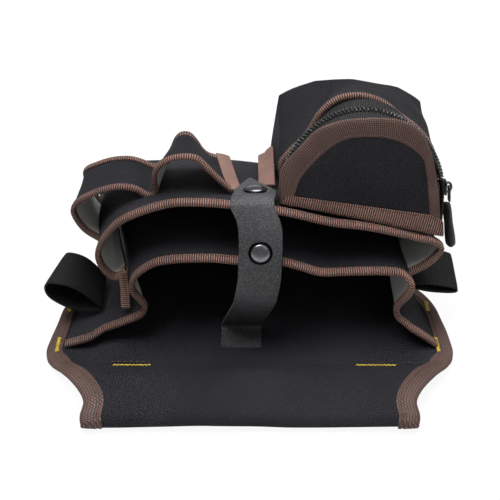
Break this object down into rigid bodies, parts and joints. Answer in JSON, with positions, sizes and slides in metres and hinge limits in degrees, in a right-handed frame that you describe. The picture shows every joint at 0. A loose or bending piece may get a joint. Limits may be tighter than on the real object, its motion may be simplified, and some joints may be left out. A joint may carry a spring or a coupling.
{
  "type": "tool pouch",
  "caption": "Waist tool pouch of black oxford cloth lying on its back, with a belt tunnel, open pockets, tool loops, a snap strap and a D-shaped zipped pouch.",
  "frame": {"origin": "middle of the floor that the pouch lies on, under the middle of its overall width and length", "axes": "+X across the pouch to the zipped pouch's side, +Y from the belt edge to the foot, +Z out of the pouch's front, away from the floor"},
  "size_m": [0.2564, 0.226, 0.1451],
  "materials": {
    "black_cloth": "coated twill, dull sheen",
    "foam": "foam sheet",
    "brown_tape": "ribbed grosgrain tape",
    "zip_tape": "woven zip tape",
    "zip_coil": "black coil",
    "black_metal": "glossy gunmetal black",
    "pull_plastic": "moulded pull",
    "strap_leather": "pebbled charcoal",
    "black_webbing": "ribbed webbing",
    "yellow_thread": "bartack thread"
  },
  "bodies": {
    "pouch": {"back_panel_face": "black_cloth", "back_panel_foam": "foam", "back_panel_lining": "black_cloth", "edge_tape": "brown_tape", "main_pocket_front": "black_cloth", "main_gusset_left": "black_cloth", "main_gusset_right": "black_cloth", "main_pocket_lip": "brown_tape", "second_pocket_front": "black_cloth", "second_gusset_left": "black_cloth", "second_gusset_right": "black_cloth", "second_pocket_lip": "brown_tape", "seam_tape_end": "brown_tape", "tool_loop_band": "black_cloth", "tool_loop_near_tape": "brown_tape", "tool_loop_far_tape": "brown_tape", "tool_loop_end_tape": "brown_tape", "zip_pouch_shell": "black_cloth", "zip_pouch_end": "black_cloth", "zip_pouch_arch_tape": "brown_tape", "zip_pouch_side_tape": "brown_tape", "zip_tape_pouch": "zip_tape", "zip_coil_pouch": "zip_coil", "zip_end_left": "zip_tape", "zip_end_right": "zip_tape", "strap_foot": "strap_leather", "snap_stud": "black_metal", "webbing_loop_left": "black_webbing", "webbing_loop_right": "black_webbing", "bartacks": "yellow_thread"},
    "lid": {"lid_panel": "black_cloth", "lid_border_tape": "brown_tape", "zip_tape_lid": "zip_tape", "zip_coil_lid": "zip_coil"},
    "slider": {"zip_slider": "black_metal"},
    "puller": {"puller_link": "black_metal", "puller_tab": "pull_plastic"},
    "strap": {"strap_span": "strap_leather", "snap_cap_middle": "black_metal", "snap_socket_middle": "black_metal"},
    "strap_end": {"strap_tip": "strap_leather", "snap_cap_tip": "black_metal", "snap_socket_tip": "black_metal"}
  },
  "joints": [
    {"name": "lid_open", "type": "hinge", "parent": "pouch", "child": "lid", "pos_m": [0.0655, -0.02496, 0.0862], "axis": [0.9767, -0.0592, -0.2064], "range_deg": [0, 90]},
    {"name": "zip_slide", "type": "hinge", "parent": "pouch", "child": "slider", "pos_m": [0.0655, -0.02014, 0.09866], "axis": [0, -0.9613, 0.2756], "range_deg": [0, 166]},
    {"name": "puller_swing", "type": "hinge", "parent": "slider", "child": "puller", "pos_m": [0.11663, -0.01089, 0.09972], "axis": [0, -0.9613, 0.2756], "range_deg": [0, 80]},
    {"name": "strap_swing", "type": "hinge", "parent": "pouch", "child": "strap", "pos_m": [0, -0.0385, 0.008], "axis": [1, 0, 0], "range_deg": [0, 41]},
    {"name": "strap_tip_lift", "type": "hinge", "parent": "strap", "child": "strap_end", "pos_m": [0, -0.0287, 0.10335], "axis": [1, 0, 0], "range_deg": [0, 115]}
  ],
  "couplings": [
    {"joint": "strap_swing", "follows": "strap_tip_lift", "ratio": 0.35}
  ]
}
